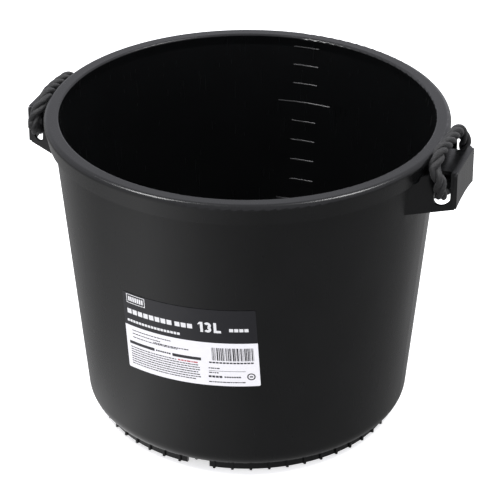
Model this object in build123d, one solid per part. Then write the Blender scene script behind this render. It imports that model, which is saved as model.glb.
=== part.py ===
from build123d import *
from math import atan2, cos, degrees, pi, radians, sin, sqrt
import os

# Rope-handled 13-litre bucket, in millimetres.
# Origin: centre of the foot circle on the ground. +Z is up, the two ears point along +X and -X,
# the label faces -Y and the litre marks are on the inside of the wall at +Y.

# Overall
HEIGHT = 248.8
LIP_R = 155.0

# Wall: both faces are cones that open upwards
WALL_REF_Z = 234.5
WALL_REF_R = 147.8
WALL_OUTER_SLOPE = 0.0951
FLOOR_Z = 8.6
INNER_FLOOR_R = 123.5
INNER_TOP_Z = 240.0
INNER_TOP_R = 143.9
INNER_LIP_R = 143.4
BASE_Z = 5.4
OUTER_CORNER = 14.6
INNER_CORNER = 11.6

# Lip: a rim with a skirt that hangs outside the wall, with an open groove between them
LIP_EDGE = 3.4
LIP_INNER_EDGE = 1.6
SKIRT_Z = 232.0
SKIRT_SLOPE = 0.225
SKIRT_INNER_R = 150.0
GROOVE_TOP_Z = 243.0
SMALL_EDGE = 0.6

# Foot ring, with ribs round it and drain notches through it
FOOT_OUTER_R = 117.0
FOOT_THICKNESS = 3.4
FOOT_SINK = 1.6
FOOT_EDGE = 0.8
RIB_COUNT = 52
RIB_WIDTH = 2.0
RIB_PROUD = 1.5
RIB_CORNER = 0.4
NOTCH_COUNT = 4
NOTCH_WIDTH = 18.0
NOTCH_TURN = 0.6
GATE_R = 5.0
GATE_PROUD = 0.8

# Ear: an outer plate, a roof and two slanted end walls make a tunnel that is open below.
# Each end wall has a slot, open at the top, that the rope goes through.
EAR_REACH = 172.5
EAR_INNER = 136.0
EAR_ROOT = 1.0
PLATE_THICKNESS = 4.5
PLATE_HALF_WIDTH = 24.4
PLATE_BOTTOM_Z = 206.5
PLATE_TOP_Z = 236.3
PLATE_CORNER = 3.5
PLATE_EDGE = 0.7
PLATE_ARCH = 2.3
ROOF_TOP_Z = 234.3
ROOF_THICKNESS = 3.0
ROOF_HALF_WIDTH = 18.8
ROOF_ROOT_X = 156.6
ROOF_ROOT_Z = 210.0
END_START = (170.8, 23.6)
END_ROOT = (136.0, 45.1)
END_DEPTH = 2.4
END_BOTTOM_Z = 205.6
END_TOP_Z = 236.0
SLOT_X = 162.5
SLOT_R = 5.4
SLOT_BOTTOM_Z = 210.4
SLOT_OVERRUN = 0.2

# Rope handle: a closed loop whose lower run goes through the ear's tunnel
ROPE_R = 4.8
RUN_X = 162.5
RUN_Z = 220.0
LOOP_HALF_WIDTH = 36.0
LOOP_RISE = 28.0
LOOP_TOP_CORNER = 17.0
LOOP_FOOT_CORNER = 9.0
LOOP_LEAN = 5.4

# Sleeve that joins the rope's two ends, inside the tunnel
SLEEVE_R = 5.3
SLEEVE_LENGTH = 24.0
SLEEVE_CLEARANCE = 0.05

# Litre marks, low rounded beads on the inside of the wall, with a numeral at each long one
LITRE = 1.0e6
LITRES = 13
LONG_MARKS = (5, 10)
MARK_R = 1.2
MARK_PROUD = 0.4
MARK_HALF_ANGLE = 4.2
LONG_MARK_HALF_ANGLE = 9.0
DIGIT_PROUD = 0.5
DIGIT_SINK = 1.0
DIGIT_HEIGHT = 9.0
DIGIT_WIDTH = 5.0
DIGIT_STROKE = 1.1
DIGIT_PITCH = 7.0
DIGIT_OFFSET = 31.0

# Label: a film on the outside of the wall
LABEL_Z = 119.0
LABEL_WIDTH = 104.6
LABEL_HEIGHT = 68.9
LABEL_CORNER = 1.2
LABEL_TILT = 1.6
LABEL_TURN = 0.3
LABEL_THICKNESS = 0.2
LABEL_GAP = 0.02

# The lip's sharp corner, placed so that its rounded edge just reaches LIP_R
LIP_CORNER_R = LIP_R + LIP_EDGE * (SKIRT_SLOPE + sqrt(1 + SKIRT_SLOPE**2) - 1)
SKIRT_OUTER_R = LIP_CORNER_R - SKIRT_SLOPE * (HEIGHT - SKIRT_Z)
INNER_SLOPE = (INNER_TOP_R - INNER_FLOOR_R) / (INNER_TOP_Z - FLOOR_Z)


def outer_radius(z):
    """Radius of the wall's outside at height z."""
    return WALL_REF_R - WALL_OUTER_SLOPE * (WALL_REF_Z - z)


def inner_radius(z):
    """Radius of the wall's inside at height z."""
    return INNER_FLOOR_R + INNER_SLOPE * (z - FLOOR_Z)


def litre_height(litres):
    """Height of the liquid's surface when the bucket holds this many litres."""
    cube = INNER_FLOOR_R**3 + 3 * INNER_SLOPE * litres * LITRE / pi
    return FLOOR_Z + (cube ** (1 / 3) - INNER_FLOOR_R) / INNER_SLOPE


def turned(corners, radii, angle=360.0):
    """Solid of revolution about Z from a rounded outline of (radius, height) corners."""
    outline = FilletPolyline(*corners, radius=radii, close=True)
    section = Plane.XZ * make_face(outline)
    return revolve(section, Axis.Z, angle)


def shell():
    """Floor, wall, rolled lip and skirt, turned as one."""
    axis_r = 0.0
    corners = [
        (axis_r, FLOOR_Z),
        (INNER_FLOOR_R, FLOOR_Z),
        (INNER_TOP_R, INNER_TOP_Z),
        (INNER_LIP_R, HEIGHT),
        (LIP_CORNER_R, HEIGHT),
        (SKIRT_OUTER_R, SKIRT_Z),
        (SKIRT_INNER_R, SKIRT_Z),
        (SKIRT_INNER_R, GROOVE_TOP_Z),
        (outer_radius(GROOVE_TOP_Z), GROOVE_TOP_Z),
        (outer_radius(BASE_Z), BASE_Z),
        (axis_r, BASE_Z),
    ]
    radii = [
        0,
        INNER_CORNER,
        0,
        LIP_INNER_EDGE,
        LIP_EDGE,
        SMALL_EDGE,
        SMALL_EDGE,
        SMALL_EDGE,
        SMALL_EDGE,
        OUTER_CORNER,
        0,
    ]
    return turned(corners, radii)


def foot_ring():
    """Plain ring that the bucket stands on."""
    top = BASE_Z + FOOT_SINK
    inner = FOOT_OUTER_R - FOOT_THICKNESS
    corners = [(inner, 0), (FOOT_OUTER_R, 0), (FOOT_OUTER_R, top), (inner, top)]
    return turned(corners, [FOOT_EDGE, FOOT_EDGE, 0, 0])


def foot_rib():
    """One small upright rib on the outside of the foot ring, at +X."""
    top = BASE_Z + FOOT_SINK
    length = RIB_PROUD + FOOT_THICKNESS / 2
    rib = extrude(RectangleRounded(length, RIB_WIDTH, RIB_CORNER), top)
    return Pos(FOOT_OUTER_R + RIB_PROUD - length / 2, 0, 0) * rib


def notch_gap(index):
    """One drain notch, as the block to take out of the foot ring."""
    middle = FOOT_OUTER_R - FOOT_THICKNESS / 2
    block = Box(4 * FOOT_THICKNESS, NOTCH_WIDTH, 2 * BASE_Z)
    return Rot(0, 0, NOTCH_TURN + index * 360 / NOTCH_COUNT) * Pos(middle, 0, 0) * block


def foot():
    """Foot ring with its ribs, cut through by the notches."""
    rib_places = [Rot(0, 0, index * 360 / RIB_COUNT) for index in range(RIB_COUNT)]
    ribs = [place * foot_rib() for place in rib_places]
    gaps = [notch_gap(index) for index in range(NOTCH_COUNT)]
    return foot_ring() + ribs - gaps


def gate_mark():
    """Low round boss under the middle of the floor, left by the mould's gate."""
    return Pos(0, 0, BASE_Z - GATE_PROUD) * extrude(Circle(GATE_R), GATE_PROUD + SMALL_EDGE)


def end_wall():
    """Slanted wall at the +Y end of the +X ear."""
    (x0, y0), (x1, y1) = END_START, END_ROOT
    corners = [(x0, y0), (x1, y1), (x1, y1 - END_DEPTH), (x0, y0 - END_DEPTH)]
    wall = extrude(make_face(Polyline(*corners, close=True)), END_TOP_Z - END_BOTTOM_Z)
    return Pos(0, 0, END_BOTTOM_Z) * wall


def rope_slot():
    """Round-bottomed slot for the rope, open at the top, as the solid to take from an end wall."""
    middle_z = SLOT_BOTTOM_Z + SLOT_R
    height = END_TOP_Z + SLOT_OVERRUN - middle_z
    outline = Circle(SLOT_R) + Pos(0, height / 2) * Rectangle(2 * SLOT_R, height)
    return extrude(Plane.XZ * (Pos(SLOT_X, middle_z) * outline), END_ROOT[1], both=True)


def outer_plate():
    """Upright outer plate of the +X ear, with an arched lower edge."""
    low_left = (-PLATE_HALF_WIDTH, PLATE_BOTTOM_Z)
    low_right = (PLATE_HALF_WIDTH, PLATE_BOTTOM_Z)
    high_right = (PLATE_HALF_WIDTH, PLATE_TOP_Z)
    high_left = (-PLATE_HALF_WIDTH, PLATE_TOP_Z)
    arch = ThreePointArc(low_left, (0, PLATE_BOTTOM_Z + PLATE_ARCH), low_right)
    outline = make_face(arch + Polyline(low_right, high_right, high_left, low_left))
    outline = fillet(outline.vertices().group_by(Axis.Y)[-1], PLATE_CORNER)
    outline = fillet(outline.vertices().group_by(Axis.Y)[0], PLATE_EDGE)
    plate = extrude(Plane.YZ * outline, PLATE_THICKNESS)
    outer_face = plate.faces().sort_by(Axis.X)[-1]
    plate = fillet(outer_face.edges(), PLATE_EDGE)
    return Pos(EAR_REACH - PLATE_THICKNESS, 0, 0) * plate


def roof():
    """Flat bridge of the +X ear, from the wall to the outer plate, thicker next to the wall."""
    corners = [
        (EAR_INNER, ROOF_TOP_Z),
        (EAR_REACH - PLATE_THICKNESS / 2, ROOF_TOP_Z),
        (EAR_REACH - PLATE_THICKNESS / 2, ROOF_TOP_Z - ROOF_THICKNESS),
        (ROOF_ROOT_X, ROOF_TOP_Z - ROOF_THICKNESS),
        (ROOF_ROOT_X, ROOF_ROOT_Z),
        (EAR_INNER, ROOF_ROOT_Z),
    ]
    section = make_face(Plane.XZ * Polyline(*corners, close=True))
    return extrude(section, ROOF_HALF_WIDTH, both=True)


def ear():
    """The +X ear, trimmed so that its root ends inside the wall."""
    end = end_wall() - rope_slot()
    blank = outer_plate() + roof() + [end, mirror(end, about=Plane.XZ)]
    corners = [
        (0, BASE_Z),
        (outer_radius(BASE_Z) - EAR_ROOT, BASE_Z),
        (outer_radius(HEIGHT) - EAR_ROOT, HEIGHT),
        (0, HEIGHT),
    ]
    return blank - turned(corners, [0, 0, 0, 0])


def litre_mark(litres):
    """One raised bead across the inside of the wall, centred on +Y."""
    half_angle = LONG_MARK_HALF_ANGLE if litres in LONG_MARKS else MARK_HALF_ANGLE
    z = litre_height(litres)
    section = Plane.XZ * (Pos(inner_radius(z) - MARK_PROUD + MARK_R, z) * Circle(MARK_R))
    return Rot(0, 0, 90 - half_angle) * revolve(section, Axis.Z, 2 * half_angle)


def stroke(start, end):
    """One straight stroke of a numeral, with square ends."""
    (x0, y0), (x1, y1) = start, end
    length = sqrt((x1 - x0) ** 2 + (y1 - y0) ** 2) + DIGIT_STROKE
    turn = degrees(atan2(y1 - y0, x1 - x0))
    return Pos((x0 + x1) / 2, (y0 + y1) / 2) * Rot(0, 0, turn) * Rectangle(length, DIGIT_STROKE)


def digit_one():
    """Numeral 1: an upright with a short flag."""
    half = DIGIT_HEIGHT / 2
    return stroke((0, -half), (0, half)) + stroke((-1.6, half - 1.6), (0, half))


def digit_zero():
    """Numeral 0: an upright ring."""
    outside = Ellipse(DIGIT_WIDTH / 2 + DIGIT_STROKE / 2, DIGIT_HEIGHT / 2 + DIGIT_STROKE / 2)
    inside = Ellipse(DIGIT_WIDTH / 2 - DIGIT_STROKE / 2, DIGIT_HEIGHT / 2 - DIGIT_STROKE / 2)
    return outside - inside


def digit_five():
    """Numeral 5: a flag and an upright over a bowl that is open to the left."""
    half = DIGIT_HEIGHT / 2
    bowl_r = DIGIT_HEIGHT * 0.3
    left = -DIGIT_WIDTH / 2
    bowl_y = bowl_r - half
    ring = Circle(bowl_r + DIGIT_STROKE / 2) - Circle(bowl_r - DIGIT_STROKE / 2)
    opening = Pos(-bowl_r, 0) * Rectangle(1.4 * bowl_r, 1.1 * bowl_r)
    bowl = Pos(0, bowl_y) * (ring - opening)
    upright = stroke((left, half), (left, bowl_y + 0.75 * bowl_r))
    return bowl + upright + stroke((left, half), (-left, half))


def numeral(digits, litres):
    """A numeral raised on the inside of the wall, to the +X side of its long mark."""
    z = litre_height(litres)
    angle = 90 - degrees(DIGIT_OFFSET / inner_radius(z))
    facing = Plane(
        origin=(inner_radius(z) * cos(radians(angle)), inner_radius(z) * sin(radians(angle)), z),
        x_dir=(sin(radians(angle)), -cos(radians(angle)), 0),
        z_dir=(-cos(radians(angle)), -sin(radians(angle)), 0),
    )
    solids = []
    for index, digit in enumerate(digits):
        shift = (index - (len(digits) - 1) / 2) * DIGIT_PITCH
        blank = extrude(Pos(shift, 0) * digit, 2 * DIGIT_SINK, both=True)
        solids.append(facing * blank)
    low = z - DIGIT_HEIGHT
    high = z + DIGIT_HEIGHT
    corners = [
        (inner_radius(low) - DIGIT_PROUD, low),
        (inner_radius(low) + DIGIT_SINK, low),
        (inner_radius(high) + DIGIT_SINK, high),
        (inner_radius(high) - DIGIT_PROUD, high),
    ]
    band = turned(corners, [0, 0, 0, 0])
    return [solid & band for solid in solids]


def bucket_body():
    """The whole moulding: shell, foot, ears and litre marks."""
    body = shell() + foot() + gate_mark()
    body += [ear(), Rot(0, 0, 180) * ear()]
    body += [litre_mark(litres) for litres in range(1, LITRES + 1)]
    body += numeral([digit_one(), digit_zero()], 10)
    body += numeral([digit_five()], 5)
    return body


def label():
    """Film label that follows the outside of the wall, a little to the +X side of -Y."""
    low = LABEL_Z - LABEL_HEIGHT
    high = LABEL_Z + LABEL_HEIGHT
    near = LABEL_GAP
    far = LABEL_GAP + LABEL_THICKNESS
    corners = [
        (outer_radius(low) + near, low),
        (outer_radius(low) + far, low),
        (outer_radius(high) + far, high),
        (outer_radius(high) + near, high),
    ]
    film = Rot(0, 0, -180) * turned(corners, [0, 0, 0, 0], 180)
    outline = Rot(0, 0, LABEL_TILT) * RectangleRounded(LABEL_WIDTH, LABEL_HEIGHT, LABEL_CORNER)
    window = extrude(Plane.XZ * outline, LIP_R)
    return Rot(0, 0, LABEL_TURN) * (film & (Pos(0, 0, LABEL_Z) * window))


def rope():
    """Closed loop of rope on the +X ear, leaning in against the lip."""
    corners = [
        (-LOOP_HALF_WIDTH, 0),
        (LOOP_HALF_WIDTH, 0),
        (LOOP_HALF_WIDTH, LOOP_RISE),
        (-LOOP_HALF_WIDTH, LOOP_RISE),
    ]
    radii = [LOOP_FOOT_CORNER, LOOP_FOOT_CORNER, LOOP_TOP_CORNER, LOOP_TOP_CORNER]
    loop = FilletPolyline(*corners, radius=radii, close=True)
    lean = radians(LOOP_LEAN)
    leaning = Plane(origin=(RUN_X, 0, RUN_Z), x_dir=(0, 1, 0), z_dir=(cos(lean), 0, sin(lean)))
    path = leaning * loop
    section = Plane(origin=path @ 0, z_dir=path % 0) * Circle(ROPE_R)
    return sweep(section, path)


def rope_sleeve():
    """Short tube on the lower run of the +X rope."""
    tube = Circle(SLEEVE_R) - Circle(ROPE_R + SLEEVE_CLEARANCE)
    middle = Plane(origin=(RUN_X, 0, RUN_Z), z_dir=(0, 1, 0))
    return middle * extrude(tube, SLEEVE_LENGTH / 2, both=True)


def opposite(shape):
    """The same piece on the -X side."""
    return Rot(0, 0, 180) * shape


PARTS = {
    "bucket_body": bucket_body(),
    "label": label(),
    "right_rope": rope(),
    "right_rope_sleeve": rope_sleeve(),
    "left_rope": opposite(rope()),
    "left_rope_sleeve": opposite(rope_sleeve()),
}

os.makedirs("parts", exist_ok=True)
for node, shape in PARTS.items():
    export_step(shape, f"parts/{node}.step")
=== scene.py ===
import math
import random

import bmesh
import bpy
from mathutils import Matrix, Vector


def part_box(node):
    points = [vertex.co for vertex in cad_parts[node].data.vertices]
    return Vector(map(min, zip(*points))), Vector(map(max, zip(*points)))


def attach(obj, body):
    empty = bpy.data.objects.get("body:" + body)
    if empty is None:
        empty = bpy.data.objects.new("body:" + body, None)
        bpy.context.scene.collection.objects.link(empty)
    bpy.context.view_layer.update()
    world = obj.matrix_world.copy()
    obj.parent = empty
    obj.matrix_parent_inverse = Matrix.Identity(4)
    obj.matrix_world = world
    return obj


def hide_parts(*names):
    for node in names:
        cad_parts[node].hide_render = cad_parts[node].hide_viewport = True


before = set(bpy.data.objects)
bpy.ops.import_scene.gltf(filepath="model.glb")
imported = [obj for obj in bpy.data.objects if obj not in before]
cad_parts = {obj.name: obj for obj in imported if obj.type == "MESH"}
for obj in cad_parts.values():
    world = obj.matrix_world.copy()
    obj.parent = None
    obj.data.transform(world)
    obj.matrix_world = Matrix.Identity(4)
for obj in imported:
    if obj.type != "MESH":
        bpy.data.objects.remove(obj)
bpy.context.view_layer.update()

MM = 0.001

# Wall of the bucket, in millimetres: its outside is a cone that opens upwards
WALL_REF_Z = 234.5
WALL_REF_R = 147.8
WALL_SLOPE = 0.0951

# Label, in millimetres, measured along the wall from the label's centre
LABEL_Z = 119.0
LABEL_TURN = 0.3
LABEL_TILT = 1.6
LABEL_HALF_WIDTH = 53.8
LABEL_HALF_HEIGHT = 34.4
LABEL_CORNER = 1.2
LABEL_CORNER_STEPS = 5
LABEL_SPLIT = 4.8
FILM_BACK = 0.03
FILM_FACE = 0.25
INK_FACE = 0.29
BEND_STEP = 2.5

# Lip that the ropes rest on, in millimetres
LIP_R = 155.0
LIP_TOP = 248.8
LIP_EDGE = 3.4

# Rope, in millimetres
ROPE_RUN_Z = 220.0
ROPE_RUN_X = 162.5
ROPE_R = 4.8
ROPE_GAP = 0.2
ROPE_TURNS = 6
STRANDS = 3
STRAND_R = 2.3
STRAND_OFFSET = 2.5
STEPS = 720
RING = 24
YARNS = 7
YARN_TURNS = 22 / 3
YARN_DEPTH = 0.05
CHART_SCALE = 0.1

# Each loop as it hangs, from its -across end to its +across end: where the legs stand, how high
# the top is, how round its corners are and how far it leans in on the lip
ROPE_SHAPES = {
    "right": {"legs": (-36.0, 34.5), "rises": (31.5, 28.0), "corners": (20.0, 17.0), "leans": (6.5, 2.0)},
    "left": {"legs": (-35.5, 35.5), "rises": (22.0, 26.5), "corners": (18.0, 20.0), "leans": (4.5, 4.5)},
}
ROPE_FOOT_CORNER = 9.0
ROPE_LEAN_START = 13.0
ROPE_LEAN_RISE = 11.0

# Camera
CAMERA_AZIMUTH = 19.5
CAMERA_ELEVATION = 29.09
CAMERA_DISTANCE = 1.936
CAMERA_LENS = 177.4
CAMERA_SHIFT = (0.0050, 0.0077)

# Stage, in metres and watts. Each soft box has its turn from the camera, its height in degrees,
# its size and its power.
SOFTBOX_DISTANCE = 2.0
SOFTBOXES = {
    "softbox_left": (-80, 60, (0.6, 0.6), 24),
    "softbox_right": (84, 60, (0.55, 0.6), 20),
}
SKY_COLOUR = (0.96, 0.96, 1.03, 1.0)
SKY_STRENGTH = 0.78
FLOOR_SIZE = 14.0
FLOOR_DROP = 0.0002
FLOOR_GLOW = 0.62

# Painted reflection: how bright the floor shows only where the glossy wall mirrors it, by direction, which
# paints the wall's shading from side to side: (share of a turn, level)
FLOOR_PAINTED_REFLECTION = (
    (0.00, 0.38),
    (0.06, 0.45),
    (0.15, 0.92),
    (0.20, 0.74),
    (0.25, 0.46),
    (0.32, 0.27),
    (0.44, 0.26),
    (0.56, 0.29),
    (0.66, 0.42),
    (0.76, 0.62),
    (0.86, 0.42),
    (0.93, 0.37),
    (1.00, 0.38),
)


# ---------------------------------------------------------------- materials


class Surface:
    """A node material with a Principled shader, and short calls for the nodes it uses."""

    def __init__(self, name):
        self.material = bpy.data.materials.new(name)
        self.material.use_nodes = True
        self.nodes = self.material.node_tree.nodes
        self.links = self.material.node_tree.links
        self.shader = self.nodes["Principled BSDF"]

    def node(self, kind, **inputs):
        made = self.nodes.new(kind)
        for key, value in inputs.items():
            self.feed(made, key.replace("_", " "), value)
        return made

    def feed(self, node, key, value):
        socket = node.inputs[int(key)] if key.isdigit() else node.inputs[key]
        if isinstance(value, bpy.types.NodeSocket):
            self.links.new(value, socket)
        else:
            socket.default_value = value

    def set(self, key, value):
        self.feed(self.shader, key, value)

    def coordinates(self, kind="Object", stretch=(1, 1, 1)):
        source = self.nodes.new("ShaderNodeTexCoord")
        return self.node("ShaderNodeMapping", Vector=source.outputs[kind], Scale=stretch).outputs[0]

    def noise(self, scale, detail=2.0, kind="Object", stretch=(1, 1, 1)):
        where = self.coordinates(kind, stretch)
        return self.node("ShaderNodeTexNoise", Vector=where, Scale=scale, Detail=detail).outputs[0]

    def remap(self, value, low, high, start=0.0, end=1.0):
        made = self.node("ShaderNodeMapRange", Value=value)
        made.inputs["From Min"].default_value = start
        made.inputs["From Max"].default_value = end
        made.inputs["To Min"].default_value = low
        made.inputs["To Max"].default_value = high
        return made.outputs[0]

    def mix(self, share, first, second):
        made = self.nodes.new("ShaderNodeMix")
        made.data_type = "RGBA"
        self.feed(made, "0", share)
        for index, colour in ((6, first), (7, second)):
            if isinstance(colour, bpy.types.NodeSocket):
                self.links.new(colour, made.inputs[index])
            else:
                made.inputs[index].default_value = (*colour, 1.0)
        return made.outputs[2]

    def bump(self, *layers):
        """Stacks (height, distance in metres) layers, finest last."""
        normal = None
        for height, distance in layers:
            made = self.node("ShaderNodeBump", Height=height, Distance=distance, Strength=1.0)
            if normal is not None:
                self.links.new(normal, made.inputs["Normal"])
            normal = made.outputs[0]
        self.links.new(normal, self.shader.inputs["Normal"])


def body_plastic():
    """Black moulded polypropylene: satin, a little wavy, a fine grain and faint draw lines."""
    made = Surface("body_plastic")
    cloud = made.noise(34.0, 3.0)
    made.set("Base Color", made.mix(cloud, (0.0026, 0.0028, 0.0029), (0.0046, 0.0049, 0.0052)))
    draw = made.noise(1.0, 2.0, stretch=(420, 420, 9))
    made.set("Roughness", made.remap(draw, 0.245, 0.275, 0.3, 0.7))
    made.set("IOR", 1.47)
    wave = made.noise(15.0, 1.0)
    grain = made.noise(1500.0, 2.0)
    made.bump((wave, 0.0005), (draw, 0.0000003), (grain, 0.0000015))
    return made.material


def rope_fibre():
    """Black twisted synthetic fibre: fine threads that follow each strand, with a slight sheen."""
    made = Surface("rope_fibre")
    threads = made.noise(1.0, 2.0, kind="UV", stretch=(6.0, 46.0, 1.0))
    fuzz = made.noise(900.0, 3.0)
    made.set("Base Color", made.mix(threads, (0.0035, 0.0035, 0.0036), (0.0155, 0.0156, 0.0155)))
    made.set("Roughness", made.remap(fuzz, 0.42, 0.62))
    made.set("Sheen Weight", 0.10)
    made.set("Sheen Roughness", 0.5)
    made.bump((threads, 0.0003), (fuzz, 0.00008))
    return made.material


def sleeve_plastic():
    """Black shrink-fit tube: matte, with faint length-wise lines."""
    made = Surface("sleeve_plastic")
    lines = made.noise(1.0, 2.0, stretch=(900, 60, 900))
    made.set("Base Color", made.mix(lines, (0.008, 0.008, 0.008), (0.014, 0.014, 0.015)))
    made.set("Roughness", made.remap(lines, 0.45, 0.6))
    made.bump((lines, 0.00002))
    return made.material


def film(name, dark, light, rough):
    """Printed film: an even colour with faint mottling and a slightly wavy face."""
    made = Surface(name)
    mottle = made.noise(260.0, 3.0)
    made.set("Base Color", made.mix(mottle, dark, light))
    made.set("Roughness", made.remap(mottle, rough, rough + 0.08))
    wave = made.noise(55.0, 1.0)
    made.bump((wave, 0.0002), (mottle, 0.00001))
    return made.material


def ink(name, dark, light):
    """Printed ink: slightly uneven, matte."""
    made = Surface(name)
    mottle = made.noise(700.0, 2.0)
    made.set("Base Color", made.mix(mottle, dark, light))
    made.set("Roughness", 0.45)
    return made.material


# ---------------------------------------------------------------- meshes


def add_object(name, mesh, materials, smooth=True):
    made = bpy.data.objects.new(name, mesh)
    bpy.context.scene.collection.objects.link(made)
    for each in materials:
        mesh.materials.append(each)
    mesh.polygons.foreach_set("use_smooth", [smooth] * len(mesh.polygons))
    return made


def rounded_path(corners, radii, steps=40):
    """Points along a closed counter-clockwise outline whose corners are rounded."""
    corners = [Vector(corner) for corner in corners]
    points = []
    for index, (corner, radius) in enumerate(zip(corners, radii)):
        before = (corners[index - 1] - corner).normalized()
        after = (corners[(index + 1) % len(corners)] - corner).normalized()
        half = before.angle(after) / 2
        centre = corner + (before + after).normalized() * radius / math.sin(half)
        start = corner + before * radius / math.tan(half) - centre
        for step in range(steps + 1):
            turn = (math.pi - 2 * half) * step / steps
            across = start.x * math.cos(turn) - start.y * math.sin(turn)
            up = start.x * math.sin(turn) + start.y * math.cos(turn)
            points.append(centre + Vector((across, up)))
    return points


def label_point(u, v, lift):
    """Point on the wall for label coordinates u (along) and v (up), in metres."""
    tilt = math.radians(LABEL_TILT)
    along = u * math.cos(tilt) - v * math.sin(tilt)
    up = u * math.sin(tilt) + v * math.cos(tilt)
    z = LABEL_Z + up
    radius = WALL_REF_R - WALL_SLOPE * (WALL_REF_Z - z)
    turn = math.radians(LABEL_TURN - 90) + along / radius
    radius += lift
    return Vector((radius * math.cos(turn), radius * math.sin(turn), z)) * MM


def bent_sheet(name, outlines, back, face, materials, split=None):
    """Thin closed slabs from flat (u, v) outlines, bent round the wall."""
    work = bmesh.new()
    for outline in outlines:
        work.faces.new([work.verts.new((u, v, 0)) for u, v in outline])
    count = int(2 * LABEL_HALF_WIDTH / BEND_STEP)
    cuts = [((index - count / 2) * BEND_STEP, 0, (1, 0, 0)) for index in range(count + 1)]
    if split is not None:
        cuts.append((0, split, (0, 1, 0)))
    for u, v, normal in cuts:
        everything = work.verts[:] + work.edges[:] + work.faces[:]
        bmesh.ops.bisect_plane(work, geom=everything, plane_co=(u, v, 0), plane_no=normal)
    grown = bmesh.ops.extrude_face_region(work, geom=work.faces[:])
    for item in grown["geom"]:
        if isinstance(item, bmesh.types.BMVert):
            item.co.z = 1.0
    if split is not None:
        for each in work.faces:
            each.material_index = 0 if each.calc_center_median().y > split else 1
    for vert in work.verts:
        u, v, w = vert.co
        vert.co = label_point(u, v, back + w * (face - back))
    bmesh.ops.recalc_face_normals(work, faces=work.faces[:])
    mesh = bpy.data.meshes.new(name)
    work.to_mesh(mesh)
    work.free()
    return add_object(name, mesh, materials, smooth=False)


# ---------------------------------------------------------------- label print
# Places and sizes are millimetres on the label, from its centre. All the print is made up.


def bar(left, low, right, high):
    return [(left, low), (right, low), (right, high), (left, high)]


def arc_band(u, v, radius, stroke, start, end, steps=20):
    """Quads along an arc, for the numeral's bowls and for a ring."""
    quads = []
    inner = radius - stroke / 2
    outer = radius + stroke / 2
    for index in range(steps):
        a = math.radians(start + (end - start) * index / steps)
        b = math.radians(start + (end - start) * (index + 1) / steps)
        corners = ((inner, a), (outer, a), (outer, b), (inner, b))
        quads.append([(u + r * math.cos(t), v + r * math.sin(t)) for r, t in corners])
    return quads


def frame_box(left, low, right, high, stroke):
    return [
        bar(left, low, right, low + stroke),
        bar(left, high - stroke, right, high),
        bar(left, low + stroke, left + stroke, high - stroke),
        bar(right - stroke, low + stroke, right, high - stroke),
    ]


def block_row(left, right, low, size, pitch):
    """A row of large print, as plain blocks."""
    count = int((right - left) / pitch)
    width = 0.8 * pitch
    return [
        bar(left + index * pitch, low, left + index * pitch + width, low + size) for index in range(count)
    ]


def dash_row(draw, left, right, low, size):
    """A row of small print, as short plain dashes."""
    shapes = []
    place = left
    while place < right - size:
        width = draw.uniform(0.8, 3.2) * size
        shapes.append(bar(place, low, min(place + width, right), low + size))
        place += width + draw.uniform(0.35, 0.6) * size
    return shapes


def capacity_numerals(left, low, height, stroke):
    """The capacity, 13L, in plain bold numerals."""
    high = low + height
    shapes = [
        bar(left + 2.0, low, left + 2.0 + stroke, high),
        [(left, high - 2.6), (left + 2.0, high - 2.0), (left + 2.0, high), (left + 1.2, high - 0.6)],
    ]
    bowl = height / 4 + stroke / 4
    radius = bowl - stroke / 2
    centre = left + 7.6
    shapes += arc_band(centre, high - bowl, radius, stroke, -90, 150)
    shapes += arc_band(centre, low + bowl, radius, stroke, -150, 90)
    foot = left + 12.2
    shapes += [bar(foot, low, foot + stroke, high), bar(foot + stroke, low, foot + 5.4, low + stroke)]
    return shapes


def light_print():
    """White print on the dark band."""
    shapes = frame_box(-50.1, 25.3, -32.9, 33.3, 0.55)
    shapes += [bar(-48.4 + 2.05 * index, 27.2, -46.9 + 2.05 * index, 31.4) for index in range(7)]
    shapes += block_row(-50.2, -9.4, 15.9, 4.2, 5.05)
    shapes += block_row(-8.3, 7.0, 16.0, 4.0, 4.95)
    shapes += capacity_numerals(9.7, 14.0, 9.0, 2.1)
    shapes += block_row(33.4, 48.5, 15.4, 2.8, 3.75)
    shapes += block_row(-51.0, -4.2, 8.3, 2.1, 2.75)
    return shapes


def bar_code(draw, left, right, low, high):
    """A made-up bar code: upright bars of random widths, with plain dashes below."""
    shapes = []
    place = left
    while place < right:
        width = draw.choice((0.3, 0.3, 0.55, 0.8, 1.05))
        shapes.append(bar(place, low, min(place + width, right), high))
        place += width + draw.choice((0.3, 0.45, 0.6, 0.85))
    return shapes + block_row(left - 2.6, right, low - 2.6, 1.3, 2.6)


def dark_print(draw):
    """Dark print on the white panel."""
    shapes = []
    for low, right in ((0.6, -13.0), (-2.4, -22.0), (-5.6, -8.0)):
        shapes += dash_row(draw, -47.2, right, low, 0.8)
    shapes += dash_row(draw, -28.0, 1.0, -4.6, 0.9)
    shapes += [bar(-50.8, -12.0, -27.6, -9.4), bar(-12.4, -12.3, 10.4, -9.7)]
    shapes += block_row(-26.4, -13.4, -11.4, 1.3, 1.85)
    for index in range(8):
        right = -9.5 if index == 0 else draw.uniform(5.0, 9.6)
        shapes += dash_row(draw, -50.0, right, -15.2 - 2.15 * index, 0.85)
    shapes += bar_code(draw, 19.0, 50.2, -11.2, 0.4)
    shapes += dash_row(draw, 15.7, 24.0, -18.8, 0.9)
    shapes += [bar(15.7, -20.9, 43.4, -20.6)]
    shapes += dash_row(draw, 15.7, 23.0, -22.9, 0.9)
    shapes += block_row(15.3, 27.0, -27.0, 1.8, 2.7)
    shapes += block_row(27.2, 41.5, -26.7, 1.2, 1.8)
    shapes += arc_band(47.3, -25.7, 2.7, 0.9, 0, 360, 28)
    shapes += [bar(46.1, -26.3, 48.5, -25.1)]
    shapes += dash_row(draw, 15.2, 42.6, -31.4, 0.9)
    return shapes


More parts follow.
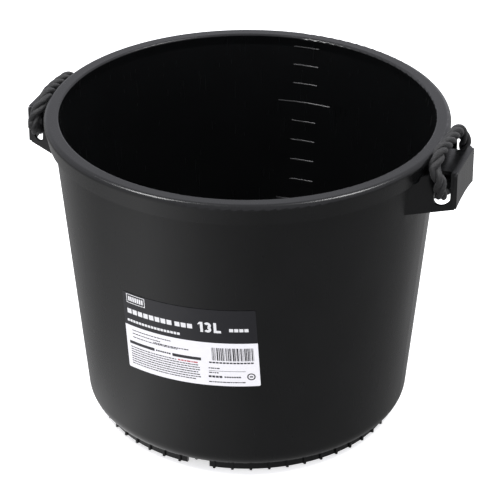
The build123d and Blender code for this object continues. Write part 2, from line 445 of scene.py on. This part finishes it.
def red_print(draw):
    return dash_row(draw, -8.2, 8.8, -15.2, 1.2)


def add_label():
    """The film and its print, all riding on the bucket."""
    band = film("label_dark", (0.0105, 0.0105, 0.0135), (0.0145, 0.0145, 0.018), 0.26)
    panel = film("label_white", (0.90, 0.89, 0.91), (0.96, 0.95, 0.97), 0.34)
    corners = bar(-LABEL_HALF_WIDTH, -LABEL_HALF_HEIGHT, LABEL_HALF_WIDTH, LABEL_HALF_HEIGHT)
    outline = rounded_path(corners, [LABEL_CORNER] * len(corners), LABEL_CORNER_STEPS)
    base = bent_sheet("label_film", [outline], FILM_BACK, FILM_FACE, [band, panel], LABEL_SPLIT)
    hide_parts("label")
    draw = random.Random(13)
    prints = {
        "label_light_print": (light_print(), ink("ink_white", (0.80, 0.80, 0.80), (0.88, 0.88, 0.88))),
        "label_dark_print": (dark_print(draw), ink("ink_black", (0.018, 0.018, 0.021), (0.035, 0.035, 0.04))),
        "label_red_print": (red_print(draw), ink("ink_red", (0.50, 0.08, 0.10), (0.60, 0.12, 0.14))),
    }
    pieces = [base]
    for name, (shapes, paint) in prints.items():
        pieces.append(bent_sheet(name, shapes, FILM_FACE, INK_FACE, [paint]))
    for piece in pieces:
        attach(piece, "bucket")


# ---------------------------------------------------------------- ropes


def loop_outline(shape):
    """Closed outline of a loop's centre line: (across, rise) points at even steps, and its length."""
    low_leg, high_leg = shape["legs"]
    low_rise, high_rise = shape["rises"]
    low_corner, high_corner = shape["corners"]
    corners = ((high_leg, 0), (high_leg, high_rise), (low_leg, low_rise), (low_leg, 0))
    radii = (ROPE_FOOT_CORNER, high_corner, low_corner, ROPE_FOOT_CORNER)
    dense = rounded_path(corners, radii)
    lengths = [(b - a).length for a, b in zip(dense, dense[1:] + dense[:1])]
    total = sum(lengths)
    points = []
    walked, edge = 0.0, 0
    for index in range(STEPS):
        target = total * index / STEPS
        while walked + lengths[edge] < target:
            walked += lengths[edge]
            edge += 1
        share = (target - walked) / lengths[edge]
        points.append(dense[edge].lerp(dense[(edge + 1) % len(dense)], share))
    return points, total


def lip_contact(across, z):
    """Smallest distance from the ear's plane at which the rope's centre line clears the lip."""
    above = max(0.0, z - (LIP_TOP - LIP_EDGE))
    reach = LIP_EDGE + ROPE_R + ROPE_GAP
    radius = LIP_R - LIP_EDGE + math.sqrt(max(0.0, reach**2 - above**2))
    return math.sqrt(radius**2 - across**2)


def rope_centre(shape, across, rise, along):
    """Centre line point of a loop on the +X ear: it leans in until it rests on the lip."""
    low_leg, high_leg = shape["legs"]
    low_lean, high_lean = shape["leans"]
    lean = low_lean + (high_lean - low_lean) * (across - low_leg) / (high_leg - low_leg)
    share = min(1.0, max(0.0, rise - ROPE_LEAN_START) / ROPE_LEAN_RISE)
    slack = (0.25 * math.sin(3 * along + 0.8) + 0.15 * math.sin(7 * along)) * share
    x = ROPE_RUN_X - lean * share**2 * (3 - 2 * share) + slack
    z = ROPE_RUN_Z + rise
    if rise > ROPE_R:
        x = max(x, lip_contact(across, z))
    return Vector((x, across, z))


def strand_spine(centre, strand):
    """Centre line of one strand, with the direction out of the rope at each step."""
    spine = []
    for index in range(STEPS):
        ahead = (centre[(index + 1) % STEPS] - centre[index - 1]).normalized()
        normal = Vector((1, 0, 0))
        normal = (normal - ahead * normal.dot(ahead)).normalized()
        binormal = ahead.cross(normal)
        turn = 2 * math.pi * (strand / STRANDS + ROPE_TURNS * index / STEPS)
        outward = normal * math.cos(turn) + binormal * math.sin(turn)
        spine.append((centre[index] + outward * STRAND_OFFSET, outward))
    return spine


def strand_rings(spine, side):
    """Points round a strand, one ring per step, with the low ridges of its twisted yarns."""
    points = []
    for index, (spot, outward) in enumerate(spine):
        ahead = (spine[(index + 1) % STEPS][0] - spine[index - 1][0]).normalized()
        out = (outward - ahead * outward.dot(ahead)).normalized()
        beside = ahead.cross(out)
        for ring in range(RING):
            turn = 2 * math.pi * ring / RING
            lay = YARNS * (turn - 2 * math.pi * YARN_TURNS * index / STEPS)
            radius = STRAND_R * (1 + YARN_DEPTH * math.cos(lay))
            place = spot + (out * math.cos(turn) + beside * math.sin(turn)) * radius
            points.append(Vector((side * place.x, side * place.y, place.z)) * MM)
    return points


def strand_faces(first):
    """Quads between the rings of a closed strand whose points start at index first."""
    quads = []
    for index in range(STEPS):
        here, after = first + index * RING, first + (index + 1) % STEPS * RING
        for ring in range(RING):
            beside = (ring + 1) % RING
            quads.append((here + ring, here + beside, after + beside, after + ring))
    return quads


def chart_strands(mesh, length):
    """Texture coordinates that run along the loop and follow the yarns' twist."""
    chart = mesh.uv_layers.new(name="UVMap")
    for number, face in enumerate(mesh.polygons):
        index, ring = divmod(number % (STEPS * RING), RING)
        corners = ((index, ring), (index, ring + 1), (index + 1, ring + 1), (index + 1, ring))
        for loop, (along, place) in zip(face.loop_indices, corners):
            twist = YARN_TURNS * along / STEPS
            chart.data[loop].uv = (length * along / STEPS * CHART_SCALE, place / RING - twist)


def add_rope(name, side, shape, paint):
    """Three strands laid round the loop, each with its own twisted yarns."""
    outline, length = loop_outline(shape)
    centre = [
        rope_centre(shape, point.x, point.y, 2 * math.pi * index / STEPS)
        for index, point in enumerate(outline)
    ]
    points, quads = [], []
    for strand in range(STRANDS):
        quads += strand_faces(len(points))
        points += strand_rings(strand_spine(centre, strand), side)
    mesh = bpy.data.meshes.new(name)
    mesh.from_pydata(points, [], quads)
    chart_strands(mesh, length)
    return add_object(name, mesh, [paint])


# ---------------------------------------------------------------- stage


def add_floor():
    """Pale floor. It glows a little for the camera, and what the glossy wall mirrors of it is a painted
    reflection whose brightness is set by direction."""
    made = Surface("floor_pale")
    made.set("Base Color", (0.90, 0.90, 0.90, 1.0))
    made.set("Roughness", 0.9)
    place = made.nodes.new("ShaderNodeNewGeometry")
    split = made.node("ShaderNodeSeparateXYZ", Vector=place.outputs["Position"])
    angle = made.nodes.new("ShaderNodeMath")
    angle.operation = "ARCTAN2"
    made.feed(angle, "0", split.outputs[1])
    made.feed(angle, "1", split.outputs[0])
    share = made.remap(angle.outputs[0], 0.0, 1.0, -math.pi, math.pi)
    ramp = made.node("ShaderNodeValToRGB", Fac=share)
    ramp.color_ramp.interpolation = "LINEAR"
    while len(ramp.color_ramp.elements) < len(FLOOR_PAINTED_REFLECTION):
        ramp.color_ramp.elements.new(0.5)
    for element, (spot, level) in zip(ramp.color_ramp.elements, FLOOR_PAINTED_REFLECTION):
        element.position = spot
        element.color = (level, level, level * 1.01, 1.0)
    # Painted reflection: emission that only glossy rays see, its level set by direction round the bucket
    painted_reflection = made.node("ShaderNodeEmission", Color=ramp.outputs[0], Strength=1.0)
    path = made.nodes.new("ShaderNodeLightPath")
    choose = made.nodes.new("ShaderNodeMixShader")
    made.set("Emission Color", (1.0, 1.0, 1.0, 1.0))
    lifted = made.nodes.new("ShaderNodeMath")
    lifted.operation = "MULTIPLY"
    made.feed(lifted, "0", path.outputs["Is Camera Ray"])
    made.feed(lifted, "1", FLOOR_GLOW)
    made.set("Emission Strength", lifted.outputs[0])
    made.links.new(path.outputs["Is Glossy Ray"], choose.inputs[0])
    made.links.new(made.shader.outputs[0], choose.inputs[1])
    made.links.new(painted_reflection.outputs[0], choose.inputs[2])
    made.links.new(choose.outputs[0], made.nodes["Material Output"].inputs[0])
    bpy.ops.mesh.primitive_plane_add(size=FLOOR_SIZE, location=(0, 0, -FLOOR_DROP))
    floor = bpy.context.object
    floor.name = "floor"
    floor.data.materials.append(made.material)


def direction(azimuth, elevation):
    """Unit vector towards the viewer; azimuth 0 is -Y and turns towards +X."""
    turn, rise = math.radians(azimuth), math.radians(elevation)
    return Vector((math.sin(turn) * math.cos(rise), -math.cos(turn) * math.cos(rise), math.sin(rise)))


def add_softbox(name, azimuth, elevation, size, power, target):
    light = bpy.data.lights.new(name, "AREA")
    light.shape = "RECTANGLE"
    light.size, light.size_y = size
    light.energy = power
    made = bpy.data.objects.new(name, light)
    bpy.context.scene.collection.objects.link(made)
    away = direction(azimuth, elevation)
    made.location = target + away * SOFTBOX_DISTANCE
    made.rotation_euler = away.to_track_quat("Z", "Y").to_euler()


def add_lights(target):
    """A large soft box at each side, and an even pale surrounding."""
    for name, (turn, elevation, size, power) in SOFTBOXES.items():
        add_softbox(name, CAMERA_AZIMUTH + turn, elevation, size, power, target)
    world = bpy.data.worlds.new("studio")
    bpy.context.scene.world = world
    world.use_nodes = True
    sky = world.node_tree.nodes["Background"]
    sky.inputs[0].default_value = SKY_COLOUR
    sky.inputs[1].default_value = SKY_STRENGTH


def add_camera(target):
    lens = bpy.data.cameras.new("camera")
    lens.lens = CAMERA_LENS
    lens.sensor_width = 36.0
    lens.shift_x, lens.shift_y = CAMERA_SHIFT
    lens.clip_end = 50.0
    made = bpy.data.objects.new("camera", lens)
    bpy.context.scene.collection.objects.link(made)
    away = direction(CAMERA_AZIMUTH, CAMERA_ELEVATION)
    made.location = target + away * CAMERA_DISTANCE
    made.rotation_euler = away.to_track_quat("Z", "Y").to_euler()
    bpy.context.scene.camera = made


# ---------------------------------------------------------------- assembly


def paint_node(node, material):
    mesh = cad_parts[node].data
    mesh.materials.clear()
    mesh.materials.append(material)


paint_node("bucket_body", body_plastic())
tube = sleeve_plastic()
paint_node("right_rope_sleeve", tube)
paint_node("left_rope_sleeve", tube)
add_label()

fibre = rope_fibre()
for side, word in ((1, "right"), (-1, "left")):
    strands = add_rope(f"{word}_rope_strands", side, ROPE_SHAPES[word], fibre)
    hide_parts(f"{word}_rope")
    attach(strands, f"{word}_loop")

middle = Vector((0, 0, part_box("bucket_body")[1].z / 2))
add_floor()
add_lights(middle)
add_camera(middle)
bpy.context.scene.view_settings.view_transform = "Standard"
